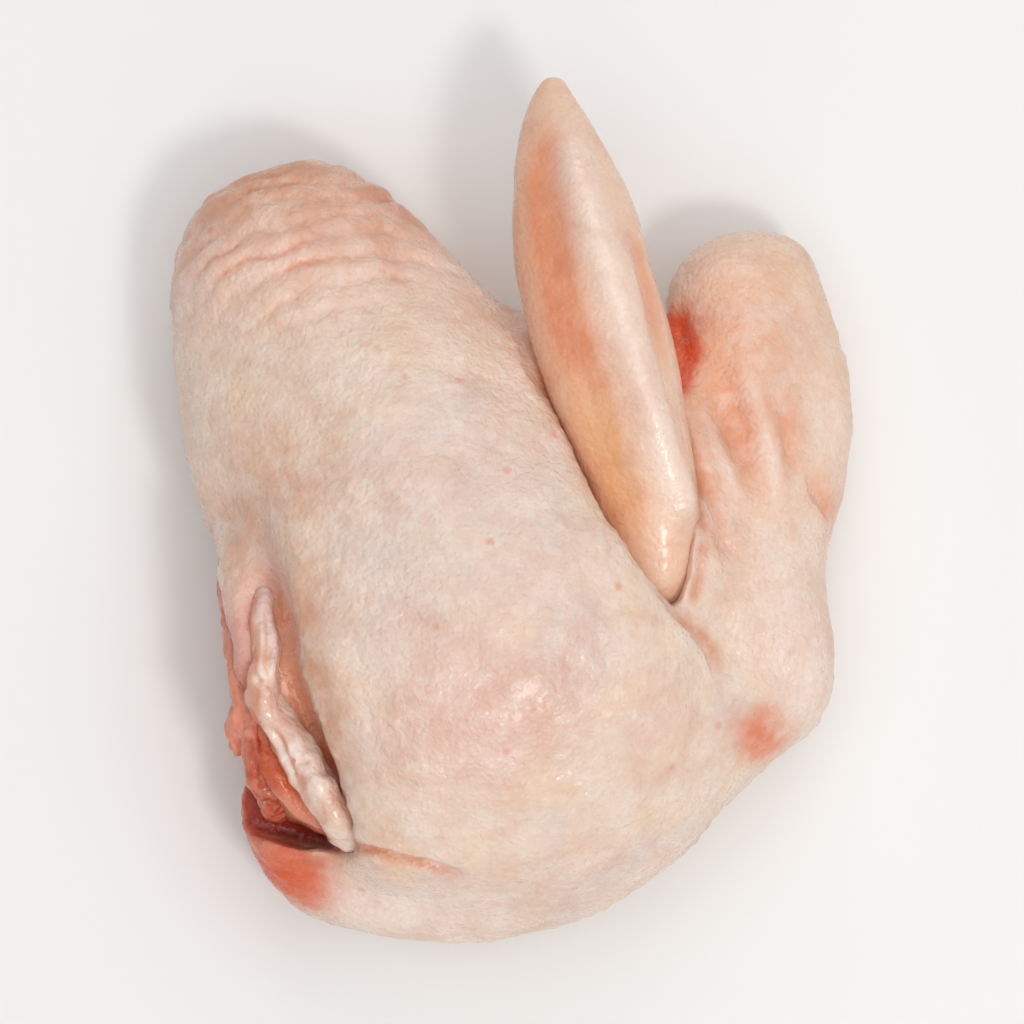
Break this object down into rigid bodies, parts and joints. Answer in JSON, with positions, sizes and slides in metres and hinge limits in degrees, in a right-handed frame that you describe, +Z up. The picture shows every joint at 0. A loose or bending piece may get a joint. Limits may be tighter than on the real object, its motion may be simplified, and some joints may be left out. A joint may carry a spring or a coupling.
{
  "type": "raw chicken wing",
  "caption": "Whole raw chicken wing, folded flat and skin side up: a plump upper arm, the forearm folded back beside it and the pointed tip folded over both.",
  "frame": {"origin": "on the surface that the wing rests on, under the middle of its bounding box", "axes": "+Z up from the resting surface, +Y from the shoulder end towards the elbow and the point of the tip, +X towards the wrist"},
  "size_m": [0.0728, 0.0886, 0.0362],
  "materials": {
    "skin": "raw poultry skin, pale cream pink with yellowish fat under it, moist and softly glossy, with fine goose bumps"
  },
  "bodies": {
    "root": {"wing": "skin"}
  },
  "joints": []
}
